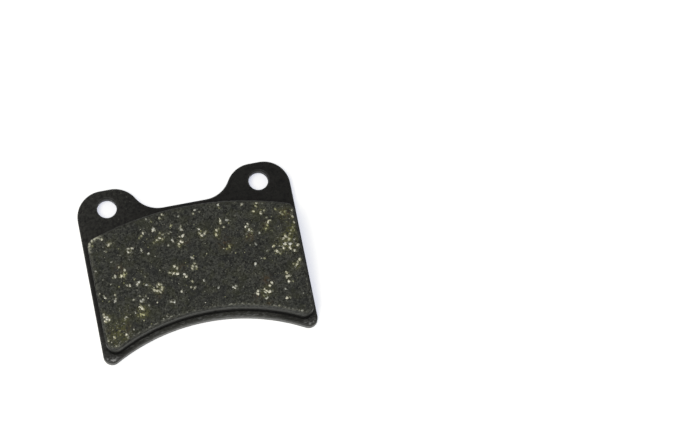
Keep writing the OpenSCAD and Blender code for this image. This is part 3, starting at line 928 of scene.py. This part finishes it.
def makeFlakes():
    plan = flakePlan
    level = blockTop - plan["sink"]
    shell = newShell()
    outline = addRing(shell, walkArcs(blockArcs(blockPlan), plan["netStep"]), plan["netInset"], level)
    reach = blockPlan["width"] / 2
    spots = [(x, y) for x, y in staggered((-reach, -top), (reach, top), plan["netStep"])
             if insideBlock(x, y, blockPlan, plan["netMargin"])]
    closeFlat(shell, outline, [], 1, level, spots)
    marks = ("busy", "size", "tone", "lean", "bright")
    busy, size, tone, lean, bright = (markOn(shell, name) for name in marks)
    for i, (x, y, z) in enumerate(shell["points"]):
        busy[i] = plan["busyPlain"] + plan["busyStained"] * spread(stainPlaces, x, y)
    for x, y, across, shade in flakePlaces:
        i = len(shell["points"])
        shell["points"].append((x, y, level))
        size[i] = across * mm
        tone[i] = shade
        lean[i] = (7.3 * x + 3.1 * y) % math.pi      # any direction, the same each run
        bright[i] = 0.5 + 0.5 * ramped(across, 0.6, 1)
    finish = flakeFinish()
    piece = makePiece("mineralFlakes", shell, finish)
    runTree(piece, flakeTree(finish, plan), scatterSettings)
    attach(piece, "root")
    return piece


mineralFlakes = makeFlakes()
print("mineral flakes:", len(mineralFlakes.data.polygons), "faces")


# Floor, light and camera

studio = {
    "floorReach": 3, "floorTone": 0.8, "shadowGain": 1.67,
    "shadowShare": (0.62, 0.59, 0.44),      # how much of each colour a shadow takes from the white floor
    "skyLight": 0.4, "skyTint": (0.96, 0.98, 1),
    "contact": 0.0006,      # reach in metres within which the floor lets light onto what lies on it
    "eye": (-0.0415, -0.2484, 0.9920), "aim": (0.04373, 0.00313, 0), "roll": 7.55, "lens": 191.8,
    "sensor": 36, "clip": (0.01, 20),
}
lamps = {      # soft discs that face the part: place, size, power, tint
    "keyLamp": ((-0.17, -0.03, 0.66), 0.5, 2, (1, 0.985, 0.96)),
    "frontLamp": ((-0.22, -0.55, 0.22), 0.3, 2, (1, 1, 1)),
    "underLamp": ((0.15, 0.25, -0.6), 0.4, 3, (1, 1, 1)),
}


def seenRays(tree):      # 1 for rays that see the backdrop itself: straight, mirrored or through glass
    light = tree.nodes.new("ShaderNodeLightPath").outputs
    seen = sums(tree, "MAXIMUM", light["Is Camera Ray"], light["Is Glossy Ray"])
    return sums(tree, "MAXIMUM", seen, light["Is Transmission Ray"])


def makeFloor():
    reach = studio["floorReach"]
    mesh = bpy.data.meshes.new("floor")
    corners = [(-reach, -reach), (reach, -reach), (reach, reach), (-reach, reach)]
    mesh.from_pydata([(x, y, cadBox[0].z) for x, y in corners], [], [(0, 1, 2, 3)])
    floor = addObject("floor", mesh)
    material = bpy.data.materials.new("paleFloor")
    tree = emptyTree(material)
    share = studio["shadowShare"]
    lit = put(tree, "ShaderNodeBsdfDiffuse", {"Color": (*[studio["floorTone"]] * 3, 1)})
    shaded = put(tree, "ShaderNodeBsdfDiffuse", {"Color": (*(studio["shadowGain"] * v for v in share), 1)})
    white = put(tree, "ShaderNodeEmission", {"Color": (*(1 - v for v in share), 1), "Strength": 1})
    backdrop = put(tree, "ShaderNodeAddShader", {0: white, 1: shaded})
    shown = put(tree, "ShaderNodeMixShader", {0: seenRays(tree), 1: lit, 2: backdrop})
    fromBelow = tree.nodes.new("ShaderNodeNewGeometry").outputs["Backfacing"]
    length = tree.nodes.new("ShaderNodeLightPath").outputs["Ray Length"]
    touching = sums(tree, "LESS_THAN", length, studio["contact"])
    unseen = sums(tree, "MAXIMUM", fromBelow, touching)
    clear = put(tree, "ShaderNodeBsdfTransparent")
    whole = put(tree, "ShaderNodeMixShader", {0: unseen, 1: shown, 2: clear})
    put(tree, "ShaderNodeOutputMaterial", {"Surface": whole})
    mesh.materials.append(material)


def makeSky():
    world = bpy.data.worlds.new("studioSky")
    tree = emptyTree(world)
    plain, white = (put(tree, "ShaderNodeBackground", {"Color": (*tint, 1), "Strength": strength})
                    for tint, strength in ((studio["skyTint"], studio["skyLight"]), ((1, 1, 1), 1)))
    whole = put(tree, "ShaderNodeMixShader", {0: seenRays(tree), 1: plain, 2: white})
    put(tree, "ShaderNodeOutputWorld", {"Surface": whole})
    bpy.context.scene.world = world


def makeLamp(name, place, size, power, tint):
    data = bpy.data.lights.new(name, "AREA")
    data.shape = "DISK"
    data.size = size
    data.energy = power
    data.color = tint
    lamp = addObject(name, data)
    lamp.location = place
    lamp.rotation_mode = "QUATERNION"
    lamp.rotation_quaternion = (-Vector(place)).to_track_quat("-Z", "Y")


def makeCamera():
    data = bpy.data.cameras.new("camera")
    data.sensor_width = studio["sensor"]
    data.sensor_fit = "HORIZONTAL"
    data.lens = studio["lens"]
    data.clip_start, data.clip_end = studio["clip"]
    camera = addObject("camera", data)
    camera.location = studio["eye"]
    forward = (Vector(studio["aim"]) - Vector(studio["eye"])).normalized()
    camera.rotation_mode = "QUATERNION"
    turn = Quaternion(forward, -math.radians(studio["roll"]))
    camera.rotation_quaternion = turn @ forward.to_track_quat("-Z", "Y")
    bpy.context.scene.camera = camera


makeFloor()
makeSky()
for name, settings in lamps.items():
    makeLamp(name, *settings)
makeCamera()
bpy.context.scene.view_settings.view_transform = "Standard"
print("floor, light and camera ready")
